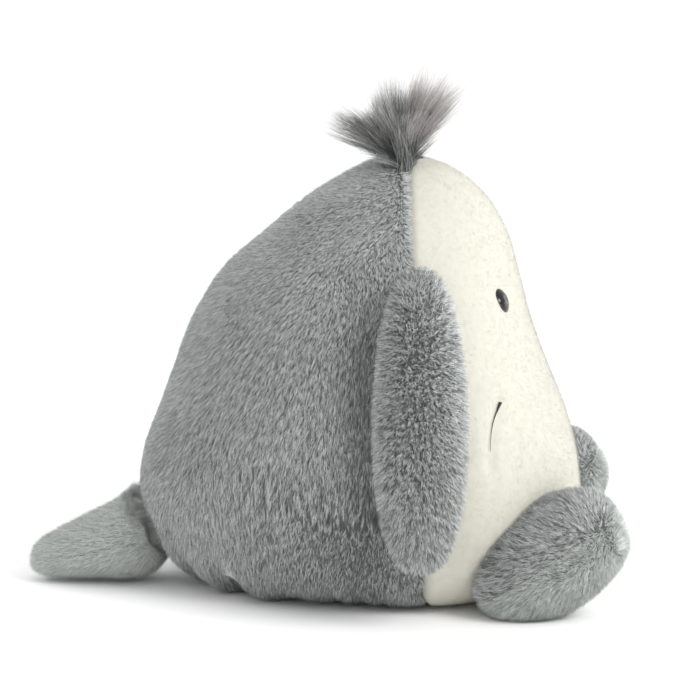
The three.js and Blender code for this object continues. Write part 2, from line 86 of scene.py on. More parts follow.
SIDES = (("right", -1), ("left", 1))
UP = np.array([0, 0, 1.0])
WAVES = 24  # how many waves make up a noise
BACK_FIBRES = 170000  # on each half of the back
FACE_FIBRES = 60000
ARM_ROOT_FIBRES = 1500  # on each mound
COLLAR_FIBRES = 7000
RUFF_FIBRES = 12000
MOUTH_STITCHES = 70  # in each corner
LIMB_FIBRES = 4.2  # to the square millimetre
LIMB_FIBRE = 0.34 * MM  # how thick the fibres of limbs are at their roots
LIMB_SPLIT = 0.35 * MM  # half the gap between a limb's two sewn halves
THREAD_SIDES = 6


# ---- Camera, light and floor ----------------------------------------------------------------
def make_stage():
    target = Vector((0, 0, TARGET_HEIGHT))
    elevation = CAMERA_ELEVATION
    data = bpy.data.cameras.new("camera")
    data.lens = CAMERA_LENS
    camera = bpy.data.objects.new("camera", data)
    camera.location = target + CAMERA_AWAY * Vector((0, -math.cos(elevation), math.sin(elevation)))
    camera.rotation_euler = (math.pi / 2 - elevation, 0, 0)
    bpy.context.collection.objects.link(camera)
    bpy.context.scene.camera = camera
    bpy.context.scene.view_settings.view_transform = "Standard"

    world = bpy.data.worlds.new("studio")
    bpy.context.scene.world = world
    world.use_nodes = True
    sky = world.node_tree.nodes["Background"]
    sky.inputs["Color"].default_value = (1, 1, 1, 1)
    sky.inputs["Strength"].default_value = 1.0

    lamps = (
        ("key_light", (1.3, -1.0, 1.2), 0.9, 24),
        ("face_light", (1.6, 0.9, 0.5), 1.0, 5),
        ("back_light", (-1.2, 0.8, 1.2), 1.2, 3),
    )
    for name, place, size, power in lamps:
        lamp = bpy.data.lights.new(name, "AREA")
        lamp.size = size
        lamp.energy = power
        holder = bpy.data.objects.new(name, lamp)
        holder.location = place
        holder.rotation_euler = (target - Vector(place)).to_track_quat("-Z", "Y").to_euler()
        bpy.context.collection.objects.link(holder)

    reach = 6
    corners = [(-reach, -reach, 0), (reach, -reach, 0), (reach, reach, 0), (-reach, reach, 0)]
    mesh = bpy.data.meshes.new("floor")
    mesh.from_pydata(corners, [], [(0, 1, 2, 3)])
    floor = bpy.data.objects.new("floor", mesh)
    bpy.context.collection.objects.link(floor)
    mesh.materials.append(plain("floor_paper", (1.0, 1.0, 1.0), 0.9))


# ---- Materials --------------------------------------------------------------------------------
def linear(colour):
    """An sRGB colour, from 0 to 1, as the linear one that a shader takes."""
    return tuple(c / 12.92 if c <= 0.04045 else ((c + 0.055) / 1.055) ** 2.4 for c in colour) + (1.0,)


def plain(name, colour, roughness, sheen=0.0, specular=0.5):
    material = bpy.data.materials.new(name)
    material.use_nodes = True
    shader = material.node_tree.nodes["Principled BSDF"]
    shader.inputs["Base Color"].default_value = linear(colour)
    shader.inputs["Roughness"].default_value = roughness
    shader.inputs["Sheen Weight"].default_value = sheen
    shader.inputs["Specular IOR Level"].default_value = specular
    return material


def mottled(name, dark, light, scale, roughness, bump=0.3, sheen=0.0):
    """A material whose colour and relief follow noise, with scale spots to the metre."""
    material = plain(name, dark, roughness, sheen)
    nodes = material.node_tree.nodes
    links = material.node_tree.links
    shader = nodes["Principled BSDF"]
    place = nodes.new("ShaderNodeTexCoord")
    noise = nodes.new("ShaderNodeTexNoise")
    noise.inputs["Scale"].default_value = scale
    noise.inputs["Detail"].default_value = 4
    ramp = nodes.new("ShaderNodeValToRGB")
    ramp.color_ramp.elements[0].position = 0.3
    ramp.color_ramp.elements[0].color = linear(dark)
    ramp.color_ramp.elements[1].position = 0.7
    ramp.color_ramp.elements[1].color = linear(light)
    relief = nodes.new("ShaderNodeBump")
    relief.inputs["Strength"].default_value = bump
    relief.inputs["Distance"].default_value = 0.5 * MM
    links.new(place.outputs["Object"], noise.inputs["Vector"])
    links.new(noise.outputs["Fac"], ramp.inputs["Fac"])
    links.new(ramp.outputs["Color"], shader.inputs["Base Color"])
    links.new(noise.outputs["Fac"], relief.inputs["Height"])
    links.new(relief.outputs["Normal"], shader.inputs["Normal"])
    return material


def shades(name, colour, spread, count=5):
    """Plain fibre materials from darker to lighter, for one pelt."""
    made = []
    for i, share in enumerate(np.linspace(-1, 1, count)):
        tone = [min(max(c + spread * share, 0), 1) for c in colour]
        made.append(plain(f"{name}_{i + 1}", tone, 0.62, specular=0.35))
    return made


# ---- Curves and noise -------------------------------------------------------------------------
def smooth(values, place):
    """A Catmull-Rom curve through a list of numbers, at a place counted in list steps."""
    values = np.asarray(values, float)
    last = len(values) - 1
    i = np.clip(np.floor(place).astype(int), 0, last - 1)
    t = place - i
    a, b, c, d = (values[np.clip(i + k, 0, last)] for k in (-1, 0, 1, 2))
    return b + 0.5 * t * (c - a + t * (2 * a - 5 * b + 4 * c - d + t * (3 * (b - c) + d - a)))


def waves(points, size, seed):
    """Smooth noise around 0 with lumps of about this size: a sum of waves in random directions."""
    rng = np.random.default_rng(seed)
    heading = rng.normal(size=(WAVES, 3))
    heading /= np.linalg.norm(heading, axis=1)[:, None]
    heading *= rng.uniform(0.8, 1.7, WAVES)[:, None] * math.pi / size
    phase = rng.uniform(0, 2 * math.pi, WAVES)
    return np.sin(points @ heading.T + phase).sum(-1) / math.sqrt(WAVES)


def wave_vectors(points, size, seed):
    """Three of these noises as one vector a point."""
    return np.stack([waves(points, size, seed + k) for k in range(3)], -1)


def unit(vectors):
    return vectors / np.maximum(np.linalg.norm(vectors, axis=-1, keepdims=True), 1e-12)


def groove(distance, width, depth):
    """How far a soft groove sinks its surface, this far from its middle. A bump has depth below 0."""
    return -depth * np.exp(-((distance / width) ** 2))


def far_from(points, line):
    """How far each point is from the nearest of a line of points."""
    return np.linalg.norm(points[..., None, :] - line, axis=-1).min(-1)


# ---- The body's surface -----------------------------------------------------------------------
def outline(height):
    """How far the CAD body reaches back, forward and to the side at a station's height."""
    level = BODY_VERTICES[np.abs(BODY_VERTICES[:, 2] - height) < 0.05 * MM]
    return level[:, 0].min(), level[:, 0].max(), np.abs(level[:, 1]).max()


BODY_PANELS = ("back_panel_left", "back_panel_right", "face_panel")
BODY_VERTICES = np.array([v.co for name in BODY_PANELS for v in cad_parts[name].data.vertices])
BACK, FRONT, SIDE = np.array([outline(height) for height in STATIONS]).T
TOP = len(STATIONS) - 1
PLACES = np.linspace(0, TOP, 600)
HEIGHTS = smooth(STATIONS, PLACES)


def seam_x(z):
    return SEAM_X_FLOOR + (SEAM_X_CROWN - SEAM_X_FLOOR) * z / STATIONS[TOP]


def place_at(z):
    return np.interp(z, HEIGHTS, PLACES)


def body_raw(place, angle):
    """A point of the body at a place counted in stations, and an angle round +Z from the face."""
    place, angle = np.broadcast_arrays(np.asarray(place, float), np.asarray(angle, float))
    z = smooth(STATIONS, place)
    ahead = np.cos(angle) > 0
    power = np.where(ahead, 2 / FACE_SQUARENESS, 1)
    middle = seam_x(z)
    reach = np.where(ahead, smooth(FRONT, place) - middle, middle - smooth(BACK, place))
    along = np.sign(np.cos(angle)) * np.abs(np.cos(angle)) ** power
    across = np.sign(np.sin(angle)) * np.abs(np.sin(angle)) ** power
    return np.stack([middle + reach * along, smooth(SIDE, place) * across, z], -1)


def body_normal(place, angle):
    step = 0.02
    place, angle = np.broadcast_arrays(np.asarray(place, float), np.asarray(angle, float))
    up = body_raw(np.minimum(place + step, TOP), angle) - body_raw(np.maximum(place - step, 0), angle)
    around = body_raw(place, angle + step) - body_raw(place, angle - step)
    return unit(np.cross(around, up))


def body_share(points):
    """1 on the body's surface and less inside it, by how far out a point is at its height."""
    place = place_at(points[..., 2])
    ahead = points[..., 0] > seam_x(points[..., 2])
    middle = seam_x(points[..., 2])
    reach = np.where(ahead, smooth(FRONT, place) - middle, middle - smooth(BACK, place))
    power = np.where(ahead, FACE_SQUARENESS, 2)
    along = np.abs((points[..., 0] - middle) / reach)
    across = np.abs(points[..., 1] / smooth(SIDE, place))
    share = (along**power + across**power) ** (1 / power)
    return np.where(points[..., 2] > STATIONS[TOP], 2, share)


def push_out(points, gap):
    """The points, with those inside the body moved straight out to this far off its surface."""
    share = body_share(points)
    centre = np.stack([seam_x(points[..., 2]), np.zeros_like(share), points[..., 2]], -1)
    away = points - centre
    reach = np.linalg.norm(away, axis=-1)
    wanted = reach / np.maximum(share, 1e-6) + gap
    moved = centre + away * (np.maximum(reach, wanted) / np.maximum(reach, 1e-9))[..., None]
    return np.where((reach < wanted)[..., None], moved, points)


def middle_of(node):
    low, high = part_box(node)
    return np.array((low + high) / 2)


EYES = {side: middle_of(f"{side}_eye") for side, _ in SIDES}


def mouth_line(sign):
    """The stroke at the mouth's corner and the faint crease that goes on below it."""
    share = np.linspace(0, 1, 24)
    z = smooth(np.array([118, 108, 95, 84]) * MM, share * 3)
    x = smooth(np.array([81, 76.5, 75, 76]) * MM, share * 3)
    place = place_at(z)
    low, high = np.zeros_like(z), np.full_like(z, math.pi / 2)
    for _ in range(30):
        angle = (low + high) / 2
        ahead = body_raw(place, angle)[:, 0] > x
        low, high = np.where(ahead, angle, low), np.where(ahead, high, angle)
    return body_raw(place, sign * angle)


MOUTHS = {side: mouth_line(sign) for side, sign in SIDES}
MOUTH_STITCHED = 17  # points of the line that are sewn; the rest is a crease
MOUTH_WIDTH = 2.2 * MM


def face_relief(points):
    """How far the face stands in or out: eye sockets, mouth corners, cheeks, folds and lumps."""
    x, y, z = points[..., 0], points[..., 1], points[..., 2]
    relief = 0.5 * MM * waves(points, 42 * MM, 3)
    relief += groove(x - seam_x(z), 3 * MM, SEAM_SINK - FACE_PILE)
    for side, _ in SIDES:
        eye = EYES[side]
        near = np.linalg.norm(points - (eye + np.array([6, 0, 0]) * MM), axis=-1)
        relief += groove(near, 10 * MM, 2.2 * MM)
        behind = eye + np.array([-3, 5 * np.sign(eye[1]), -3]) * MM
        relief += groove(np.linalg.norm(points - behind, axis=-1), 6 * MM, -3.4 * MM)
        relief += groove(far_from(points, MOUTHS[side]), 3.2 * MM, 1.5 * MM)
        cheek = MOUTHS[side][12] + np.array([-10, 0, 2]) * MM
        relief += groove(np.linalg.norm(points - cheek, axis=-1), 12 * MM, -1.2 * MM)
    sideways = np.clip((np.abs(y) - 25 * MM) / (25 * MM), 0, 1)
    for fold_x, top in ((92 * MM, 96 * MM), (109 * MM, 99 * MM)):
        span = np.exp(-(((z - top + 20 * MM) / (19 * MM)) ** 2))
        relief += sideways * span * groove(x - fold_x, 4 * MM, 1.3 * MM)
    return relief


def back_relief(points):
    """How far the back stands in or out: its seams, the gathers at its foot and soft lumps."""
    x, y, z = points[..., 0], points[..., 1], points[..., 2]
    relief = 0.7 * MM * waves(points, 48 * MM, 5)
    relief += groove(x - seam_x(z), 3 * MM, SEAM_SINK - BACK_PILE)
    relief += groove(y, 3 * MM, SEAM_SINK - BACK_PILE) * (x < 0)
    round_the_base = np.arctan2(y, SEAM_X_FLOOR - x)
    gathers = np.sin(30 * round_the_base + 2.2 * np.sin(5 * round_the_base) + z / (9 * MM))
    folded = 0.25 + 0.9 * np.exp(-(((x + 74 * MM) / (26 * MM)) ** 2))
    folded = folded * np.exp(-((z / (30 * MM)) ** 2)) * (x < 20 * MM)
    relief += 3.8 * MM * (gathers - 0.5) * folded
    return relief


# ---- Meshes -------------------------------------------------------------------------------------
def piece(name, vertices, faces, materials, indices=None, normals=None, body=None):
    """A new mesh object that rides on a body. faces is an array with one row of corners each."""
    mesh = bpy.data.meshes.new(name)
    sides_of_face = faces.shape[1]
    mesh.vertices.add(len(vertices))
    mesh.vertices.foreach_set("co", np.ascontiguousarray(vertices, np.float32).ravel())
    mesh.loops.add(faces.size)
    mesh.loops.foreach_set("vertex_index", np.ascontiguousarray(faces, np.int32).ravel())
    mesh.polygons.add(len(faces))
    mesh.polygons.foreach_set("loop_start", np.arange(0, faces.size, sides_of_face, dtype=np.int32))
    for material in materials:
        mesh.materials.append(material)
    if indices is not None:
        mesh.polygons.foreach_set("material_index", np.ascontiguousarray(indices, np.int32))
    mesh.polygons.foreach_set("use_smooth", np.ones(len(faces), bool))
    mesh.update(calc_edges=True)
    if normals is not None:
        mesh.normals_split_custom_set_from_vertices(np.ascontiguousarray(normals, np.float32))
    made = bpy.data.objects.new(name, mesh)
    bpy.context.collection.objects.link(made)
    if body:
        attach(made, body)
    return made


def grid_faces(rows, columns, start=0, flip=False, wrap=False):
    """Four-cornered faces of a grid of vertices, whose numbers begin at start."""
    i, j = np.meshgrid(np.arange(rows - 1), np.arange(columns if wrap else columns - 1), indexing="ij")
    k = (j + 1) % columns
    row, above = i * columns, (i + 1) * columns
    faces = np.stack([row + j, row + k, above + k, above + j], -1)
    faces = faces.reshape(-1, 4) + start
    return faces[:, ::-1] if flip else faces


def grid_normals(grid, inward=False):
    """Unit normals of a grid of points, turned round if they would point inward."""
    down = np.gradient(grid, axis=0)
    along = np.gradient(grid, axis=1)
    normals = unit(np.cross(along, down))
    return -normals if inward else normals


def skin(name, outer, normals, body, material, flip):
    """A closed sheet of cloth: an outer grid of points, an inner one behind it and four edges."""
    rows, columns = outer.shape[:2]
    inner = outer - CLOTH * normals
    vertices = np.concatenate([outer.reshape(-1, 3), inner.reshape(-1, 3)])
    front = grid_faces(rows, columns, 0, flip)
    back = grid_faces(rows, columns, rows * columns, not flip)
    number = np.arange(rows * columns).reshape(rows, columns)
    rim = np.concatenate([number[0, :-1], number[:-1, -1], number[-1, :0:-1], number[:0:-1, 0]])
    after = np.roll(rim, -1)
    hidden = rows * columns
    edge = np.stack([rim, rim + hidden, after + hidden, after], -1)
    edge = edge[:, ::-1] if flip else edge
    faces = np.concatenate([front, back, edge])
    made = piece(name, vertices, faces, [material], body=body)
    made.data.validate()
    return made


# ---- Pelts --------------------------------------------------------------------------------------
def scatter(grid, normals, count, rng):
    """Random places all over a grid, as often on each bit as its area asks, with their normals."""
    a = grid[1:, :-1] - grid[:-1, :-1]
    b = grid[:-1, 1:] - grid[:-1, :-1]
    area = np.linalg.norm(np.cross(a, b), axis=-1)
    chosen = rng.choice(area.size, count, p=area.ravel() / area.sum())
    i, j = np.unravel_index(chosen, area.shape)
    u, v = rng.random((2, count, 1))

    def between(values):
        low = values[i, j] * (1 - v) + values[i, j + 1] * v
        high = values[i + 1, j] * (1 - v) + values[i + 1, j + 1] * v
        return low * (1 - u) + high * u

    return between(grid), unit(between(normals))


def area_of(grid):
    a = grid[1:, :-1] - grid[:-1, :-1]
    b = grid[:-1, 1:] - grid[:-1, :-1]
    return np.linalg.norm(np.cross(a, b), axis=-1).sum()


def pelt(name, roots, normals, heading, body, materials, rng, length, lean, width,
         wild=0.15, clump=0.3, clump_size=2.6 * MM, combed=0.4, shade=0.0, streak=0.3,
         streak_size=1.6 * MM, softness=0.45, pieces=1, seed=1):
    """Short straight fibres, each a slim three-sided spike, that lean the way the pile is combed.

    heading is the way it is combed at each root, lean the angle from upright in radians, wild how
    much single fibres stray and clump how much neighbours lean together. combed is how wide a
    clump is for its height. shade makes the pile darker or lighter, and streak is how much
    neighbours share a shade. pieces is how many meshes it is made as, from the floor upwards.
    """
    count = len(roots)
    across = unit(heading - (heading * normals).sum(-1, keepdims=True) * normals)
    lean = np.broadcast_to(lean, count) + rng.normal(0, 0.08, count)
    direction = np.cos(lean)[:, None] * normals + np.sin(lean)[:, None] * across
    stretched = roots.copy()
    stretched[:, 2] *= combed
    direction = direction + clump * wave_vectors(stretched, clump_size, seed)
    direction = unit(direction + wild * rng.normal(size=(count, 3)))
    low = (direction * normals).sum(-1)
    direction = unit(direction + np.maximum(0.18 - low, 0)[:, None] * normals)
    tone = rng.random(count) + streak * waves(stretched, streak_size, seed + 50)
    size = np.broadcast_to(length, count) * (0.84 + 0.2 * np.clip(tone, 0, 1))
    # shade moves fibres to darker or lighter materials; on the back, flippers and feet it is painted
    # light and shade.
    tone = np.clip(((tone + shade) * len(materials)).astype(int), 0, len(materials) - 1)
    tip = roots + direction * size[:, None]
    first = unit(np.cross(direction, rng.normal(size=(count, 3))))
    second = np.cross(direction, first)
    base = roots - 0.25 * MM * normals
    radius = np.broadcast_to(width, count) * rng.uniform(0.75, 1.2, count) / 2
    turn = 2 * math.pi / 3
    rays = [first * math.cos(k * turn) + second * math.sin(k * turn) for k in range(3)]
    corners = np.stack([base + radius[:, None] * ray for ray in rays] + [tip], 1)
    corners[..., 2] = np.maximum(corners[..., 2], FLOOR)
    facing = [unit(softness * normals + (1 - softness) * ray) for ray in rays]
    facing = np.stack(facing + [unit(normals + 0.4 * direction)], 1)
    order = np.argsort(roots[:, 2])
    corner_order = np.array([[0, 1, 3], [1, 2, 3], [2, 0, 3]])
    for part, chosen in enumerate(np.array_split(order, pieces)):
        faces = (corner_order[None] + 4 * np.arange(len(chosen))[:, None, None]).reshape(-1, 3)
        label = name if pieces == 1 else f"{name}_{part + 1}"
        piece(
            label, corners[chosen].reshape(-1, 3), faces, materials, np.repeat(tone[chosen], 3),
            facing[chosen].reshape(-1, 3), body,
        )


# ---- Body ---------------------------------------------------------------------------------------
BODY_ROWS = 150
BODY_COLUMNS = 110


def body_grid(first, last, columns, pile, relief):
    """A panel of the body between two angles, its pile's height under the CAD surface."""
    place = np.linspace(0, TOP, BODY_ROWS)[:, None]
    angle = np.linspace(first, last, columns)[None]
    raw = body_raw(place, angle)
    normals = body_normal(place, angle)
    return raw + (relief(raw) - pile)[..., None] * normals, normals


def make_body():
    quarter = math.pi / 2
    grey = MATERIALS["grey_skin"]
    panels = (("left", quarter, 2 * quarter), ("right", 2 * quarter, 3 * quarter))
    for side, first, last in panels:
        grid, normals = body_grid(first, last, BODY_COLUMNS, BACK_PILE, back_relief)
        made = skin(f"back_skin_{side}", grid, normals, "body", grey, False)
        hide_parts(f"back_panel_{side}")
        rng = np.random.default_rng(11 if side == "left" else 12)
        roots, facing = scatter(grid, normals, BACK_FIBRES, rng)
        heading = back_heading(roots)
        upright = back_upright(roots)
        seam = np.exp(-((roots[:, 0] - seam_x(roots[:, 2])) / (3 * MM)) ** 2)
        heading = heading + 0.9 * seam[:, None] * np.array([1.0, 0, 0])
        # shade paints light and shade on the back's pile: lighter high up, darker low on the flanks and
        # behind the flippers.
        pelt(f"back_pelt_{side}", roots, facing, heading, "body", MATERIALS["grey"], rng,
             length=(5.2 - 1.2 * upright) * MM, lean=1.05 - 0.8 * upright, width=0.29 * MM,
             wild=0.1, clump=0.14 + 0.14 * upright[:, None], clump_size=1.5 * MM,
             combed=0.35 + 0.65 * upright, shade=back_painted_shading(roots), streak=0.28 + 0.65 * upright,
             streak_size=0.9 * MM, pieces=3, seed=21)
    grid, normals = body_grid(-quarter, quarter, 2 * BODY_COLUMNS, FACE_PILE, face_relief)
    made = skin("face_skin", grid, normals, "body", MATERIALS["white_skin"], False)
    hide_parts("face_panel")
    rng = np.random.default_rng(13)
    roots, facing = scatter(grid, normals, FACE_FIBRES, rng)
    away = np.ones(len(roots), bool)
    for side, _ in SIDES:
        away &= far_from(roots, MOUTHS[side][:MOUTH_STITCHED]) > MOUTH_WIDTH / 2 + 1.6 * MM
    roots, facing = roots[away], facing[away]
    heading = np.broadcast_to(-UP, roots.shape)
    pelt("face_nap", roots, facing, heading, "body", MATERIALS["white"], rng,
         length=1.4 * MM, lean=0.6, width=0.14 * MM, clump=0.0, streak=0.0, softness=1.0, seed=22)


def back_upright(points):
    """How far the back's pile stands up instead of lying down: low on the flanks, from 0 to 1."""
    low = np.clip((88 * MM - points[:, 2]) / (45 * MM), 0, 1)
    flank = np.clip((points[:, 0] + 75 * MM) / (60 * MM), 0, 1)
    return low * flank


def back_painted_shading(points):
    """Painted light and shade: lighter high up, darker low on the flanks, where it stands up, and a
    painted shadow behind the flippers.
    """
    x, z = points[:, 0], points[:, 2]
    # behind is a painted shadow of each flipper on the back; high is painted light high up.
    behind = np.exp(-(((x - 7 * MM) / (11 * MM)) ** 2)) * np.clip((190 * MM - z) / (40 * MM), 0, 1)
    high = np.clip((z - 140 * MM) / (60 * MM), 0, 1)
    return 0.06 + 0.14 * high - 0.3 * back_upright(points) - 0.34 * behind


def back_heading(points):
    """The way the back's pile is combed: down, and forward too where it is low and far back."""
    x, z = points[:, 0], points[:, 2]
    slant = np.clip((10 * MM - x) / (110 * MM), 0, 1) * np.clip((120 * MM - z) / (90 * MM), 0, 1)
    heading = np.stack([0.75 * slant, np.zeros_like(x), -np.ones_like(x)], -1)
    return heading + 0.12 * wave_vectors(points, 30 * MM, 8)


MATERIALS = {
    "grey_skin": mottled("grey_backing", (0.30, 0.31, 0.31), (0.40, 0.41, 0.41), 900, 0.95),
    "white_skin": mottled("white_backing", (0.77, 0.762, 0.716), (0.785, 0.777, 0.73), 260, 0.95, 0.05),
    "grey": shades("grey_fibre", (0.665, 0.68, 0.675), 0.22, 7),
    "limb": shades("limb_fibre", (0.665, 0.68, 0.675), 0.23, 7),
    "pale": shades("pale_fibre", (0.775, 0.795, 0.78), 0.12, 6),
    "hair": shades("hair_fibre", (0.56, 0.572, 0.566), 0.2),
    "hair_tip": shades("hair_tip_fibre", (0.76, 0.74, 0.73), 0.08, 3),
    "white": shades("white_fibre", (0.765, 0.757, 0.712), 0.012, 3),
    "base_cloth": mottled("base_cloth", (0.40, 0.41, 0.405), (0.52, 0.53, 0.525), 1400, 0.9, 0.6, 0.3),
    "filling": mottled("filling_fibre", (0.86, 0.86, 0.84), (0.95, 0.95, 0.93), 240, 0.95, 1.0, 0.3),
    "pouch": mottled("pouch_cloth", (0.74, 0.73, 0.69), (0.86, 0.85, 0.81), 1100, 0.85, 0.8),
    "thread": mottled("grey_thread", (0.34, 0.35, 0.345), (0.50, 0.51, 0.505), 2600, 0.7, 0.6),
    "white_thread": mottled("white_thread", (0.78, 0.77, 0.72), (0.86, 0.85, 0.80), 2600, 0.7, 0.6),
    "mouth_thread": mottled("mouth_thread", (0.05, 0.05, 0.055), (0.14, 0.135, 0.14), 2600, 0.5, 0.5),
    "eye": mottled("eye_plastic", (0.015, 0.015, 0.018), (0.03, 0.03, 0.034), 60, 0.07, 0.01),
    "washer": mottled("washer_plastic", (0.80, 0.80, 0.78), (0.88, 0.88, 0.86), 120, 0.45, 0.05),
}

make_stage()
make_body()


# ---- Limbs ---------------------------------------------------------------------------------------
def opened(share, blunt):
    """How far a limb has opened at this share of its length, from 0 at its ends to 1."""
    return np.maximum(4 * share * (1 - share), 0) ** (blunt / 2)


def limb_point(limb, along, turn, depth):
    """Points of a limb, this deep under its CAD surface. along and turn have the same shape."""
    share = (1 - np.cos(math.pi * along)) / 2
    trimmed = depth / limb["length"] + share * (1 - 2 * depth / limb["length"])
    centre, across, out = limb["frame"](trimmed)
    width = (limb["half_width"](share) - depth) * opened(share, limb["blunt"])
    thick = (limb["half_thick"](share) - depth) * opened(share, limb["blunt_thick"])
    return centre + (width * np.cos(turn))[..., None] * across + (thick * np.sin(turn))[..., None] * out


def arm_limb(sign):
    angle = sign * math.pi / 2

    def half_thick(share):
        return smooth(ARM_HALF_THICK, share * 4)

    def placed(share):
        place = place_at(ARM["top"] + (ARM["bottom"] - ARM["top"]) * share)
        out = body_normal(place, angle)
        flat = opened(share, 0.9) * (1 - share**2) + share**2
        clear = half_thick(share) * flat + ARM["rest"]
        centre = body_raw(place, angle) + clear[..., None] * out
        centre[..., 0] = ARM["x"]
        out[..., 0] = 0
        return centre, np.array([1.0, 0, 0]), unit(out)

    return dict(
        length=ARM["top"] - ARM["bottom"], blunt=0.5, blunt_thick=0.9, frame=placed,
        half_width=lambda share: smooth(ARM_WIDTH_SHARES, share * 4) * ARM["width"] / 2,
        half_thick=half_thick,
    )


def foot_limb(sign):
    splay = FOOT_SPLAY * sign
    heading = np.array([math.cos(splay), math.sin(splay), 0])
    toe = heading * math.cos(FOOT_PITCH) + np.array([0, 0, math.sin(FOOT_PITCH)])
    across = np.array([-math.sin(splay), math.cos(splay), 0])
    out = -heading * math.sin(FOOT_PITCH) + np.array([0, 0, math.cos(FOOT_PITCH)])
    middle = np.array([FOOT["x"], sign * FOOT["y"], FOOT["z"]])
    return dict(
        length=FOOT["length"], blunt=0.7, blunt_thick=0.7,
        frame=lambda share: (middle + ((share - 0.5) * FOOT["length"])[..., None] * toe, across, out),
        half_width=lambda share: FOOT["width"] / 2, half_thick=lambda share: FOOT["thick"] / 2,
        toe=toe,
    )


def tail_limb():
    def between(pair, share):
        return pair[0] + (pair[1] - pair[0]) * share

    def placed(share):
        x = between((TAIL["nose"], TAIL["tip"]), share)
        z = between((TAIL["nose_z"], TAIL["tip_z"]), share)
        return np.stack([x, 0 * x, z], -1), np.array([0, 1.0, 0]), np.array([0, 0, 1.0])

    return dict(
        length=TAIL["nose"] - TAIL["tip"], blunt=0.6, blunt_thick=0.6, frame=placed,
        half_width=lambda share: smooth(TAIL_WIDTHS, share * 2) / 2,
        half_thick=lambda share: smooth(TAIL_HEIGHTS, share * 2) / 2,
    )


def limb_grid(limb, half, rows, columns, depth):
    """One sewn half of a limb. half is 1 for the side that faces out and -1 for the other."""
    along = np.linspace(0.012, 0.988, rows)[:, None]
    turn = half * np.linspace(0, math.pi, columns)[None]
    along, turn = np.broadcast_arrays(along, turn)
    grid = limb_point(limb, along, turn, depth)
    out = limb["frame"](np.array([0.5]))[2]
    grid = grid + half * LIMB_SPLIT * out
    normals = grid_normals(grid)
    centre = grid.mean(1, keepdims=True)
    inward = (normals * (grid - centre)).sum() < 0
    return grid, (-normals if inward else normals), inward


def make_limb(name, limb, halves, body, seed, heading, adjust=None, edge=None, length=5 * MM,
              lean=0.34):
    """A limb's two skins with their pelts.

    halves gives each one's name, which half it is, a slot name that is not used, its shade and how flat
    it is pressed.
    heading is a function that says how the pile is combed, adjust one that moves the cloth clear
    of its neighbours, and edge one that says how near each root is to the limb's edge, from 0 to 1.
    """
    for k, (part, half, part_slot, part_shade, pressed) in enumerate(halves):
        grid, normals, flip = limb_grid(limb, half, 90, 60, LIMB_PILE)
        if adjust:
            grid = adjust(grid)
            normals = grid_normals(grid, flip)
        made = skin(f"{name}_{part}_skin", grid, normals, body,
                    MATERIALS["grey_skin"], not flip)
        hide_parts(f"{name}_{part}_panel")
        rng = np.random.default_rng(seed + k)
        count = int(area_of(grid) / MM**2 * LIMB_FIBRES)
        roots, facing = scatter(grid, normals, count, rng)
        away = body_share(roots + 2 * MM * facing) > 1
        roots, facing = roots[away], facing[away]
        near_edge = edge(roots) if edge else np.full(len(roots), 0.9)
        # The shade below is painted: lighter, as painted light, near the edges of flippers and feet;
        # darker, as painted shade, down a flipper's middle and at a foot's heel.
        pelt(f"{name}_{part}_pelt", roots, facing, heading(roots), body,
             MATERIALS[part_shade], rng, length=length * (1 - 0.15 * pressed),
             lean=lean + 0.35 * near_edge**3 + 0.1 * pressed, width=LIMB_FIBRE,
             wild=0.16, clump=0.14 * (1.3 - 0.7 * near_edge[:, None] ** 2), clump_size=1.7 * MM,
             combed=0.7, streak=0.6 - 0.36 * near_edge**2, streak_size=1.0 * MM,
             shade=0.17 * near_edge**2 - 0.06, seed=seed + 10)


def on_the_floor(points):
    """The points, with those under the floor pressed softly on to it."""
    softness = 2 * MM
    height = (points[..., 2] - FLOOR_GAP) / softness
    pressed = points.copy()
    pressed[..., 2] = FLOOR_GAP + softness * np.logaddexp(0, height)
    return pressed


def clear_of_the_body(points):
    """The tail's points, kept off the body at every turn that its hinge allows."""
    for lift in TAIL_LIFTS:
        for wag in TAIL_WAGS:
            turn = np.array(Matrix.Rotation(lift, 3, "Y") @ Matrix.Rotation(wag, 3, "Z"))
            turned = (points - TAIL_HINGE) @ turn.T + TAIL_HINGE
            points = (push_out(turned, TAIL_GAP) - TAIL_HINGE) @ turn + TAIL_HINGE
    return points


def arm_edge(points):
    """From 0 down a flipper's middle, where its pile stands up and takes painted shade, to 1 at its
    edges, which take painted light.
    """
    return np.clip(np.abs(points[:, 0] - ARM["x"]) / (ARM["width"] / 2), 0, 1)


def foot_edge(points):
    """The same for a foot, from 0 at its heel by the floor, which takes painted shade, to 0.75 high on
    the toe.
    """
    return np.clip((points[:, 0] - 70 * MM) / (40 * MM) + (points[:, 2] - 20 * MM) / (90 * MM), 0, 0.75)


def make_limbs():
    for side, sign in SIDES:
        halves = (("outer", 1, "grey_fur", "limb", 0), ("inner", -1, "grey_fur", "limb", 1))
        make_limb(f"{side}_arm", arm_limb(sign), halves, f"{side}_arm", 31,
                  lambda p: np.broadcast_to(-UP, p.shape), edge=arm_edge)
        foot = foot_limb(sign)
        halves = (("foot_upper", 1, "grey_fur", "limb", 0), ("foot_sole", -1, "light_fur", "pale", 0))
        make_limb(side, foot, halves, f"{side}_foot", 51,
                  lambda p, toe=foot["toe"]: 0.5 * UP - toe + 0.3 * wave_vectors(p, 12 * MM, 57),
                  adjust=lambda g: on_the_floor(push_out(g, FOOT_GAP)), edge=foot_edge, lean=0.6,
                  length=5.6 * MM)
    halves = (("upper", 1, "light_fur", "pale", 0), ("lower", -1, "light_fur", "pale", 0))
    make_limb("tail", tail_limb(), halves, "tail", 71,
              lambda p: np.broadcast_to(np.array([-1.0, 0, -0.2]), p.shape),
              adjust=lambda g: on_the_floor(clear_of_the_body(g)), lean=0.8, length=6 * MM)


